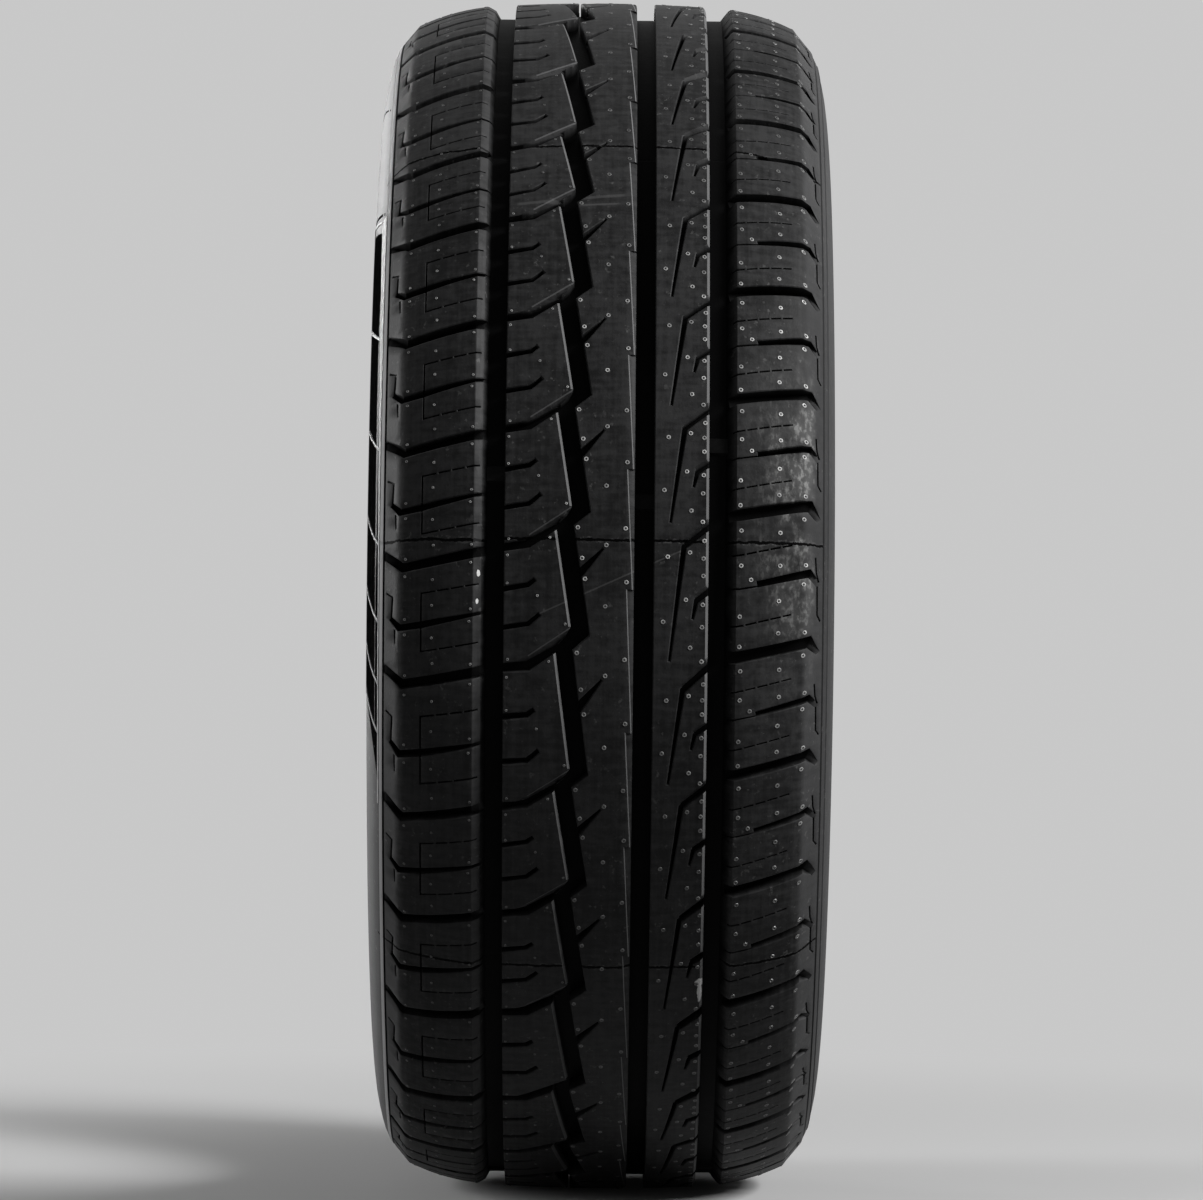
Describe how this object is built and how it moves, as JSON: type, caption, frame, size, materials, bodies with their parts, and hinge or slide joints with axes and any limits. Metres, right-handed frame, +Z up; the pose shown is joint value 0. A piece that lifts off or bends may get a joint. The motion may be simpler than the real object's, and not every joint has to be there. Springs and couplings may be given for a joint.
{
  "type": "car tyre",
  "caption": "Low-profile car tyre with straight main grooves, a zigzag groove, cross-cut shoulders and two beads that seat on a wheel rim.",
  "frame": {"origin": "wheel centre: on the spin axis, midway between the two beads", "axes": "+Y along the spin axis, +Z up when the tyre stands on its tread, +X forward through the tread"},
  "size_m": [0.6432, 0.236, 0.6417],
  "materials": {
    "tyre": "matte moulded rubber"
  },
  "bodies": {
    "root": {"tyre": "tyre"}
  },
  "joints": []
}
